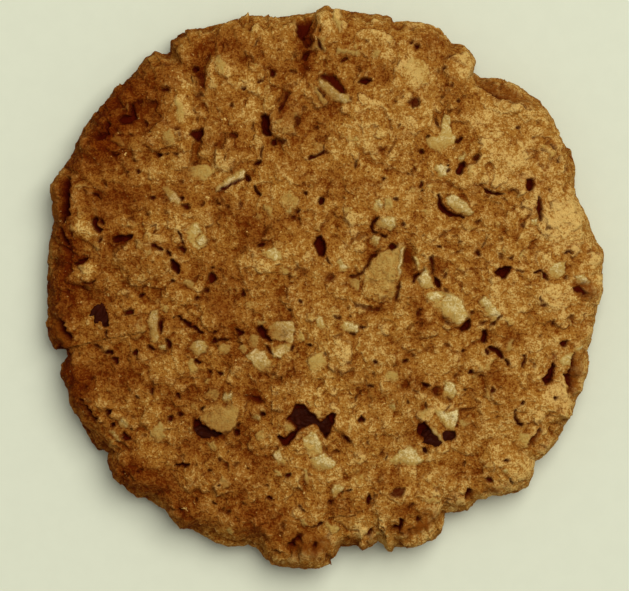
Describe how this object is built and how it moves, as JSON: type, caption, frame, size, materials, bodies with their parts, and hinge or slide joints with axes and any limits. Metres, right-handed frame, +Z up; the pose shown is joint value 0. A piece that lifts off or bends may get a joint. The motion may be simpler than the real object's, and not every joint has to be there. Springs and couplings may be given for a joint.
{
  "type": "oatmeal raisin cookie",
  "caption": "Round crunchy oat cookie with a craggy browned top, oat flakes pressed into it, raisins sunk in the dough and a flat underside.",
  "frame": {"origin": "on the flat base, under the middle of the cookie's bounding box", "axes": "+Z up through the thickness from the flat base to the craggy top; +X to the right and +Y away from a viewer who looks down on the top"},
  "size_m": [0.0789, 0.079, 0.0116],
  "materials": {
    "dough": "matt, browned baked oat dough with paler oat flakes and dark pits",
    "raisin": "wrinkled, slightly shiny dried fruit"
  },
  "bodies": {
    "root": {"cookie": "dough", "raisin_1": "raisin", "raisin_2": "raisin", "raisin_3": "raisin", "raisin_4": "raisin"}
  },
  "joints": []
}
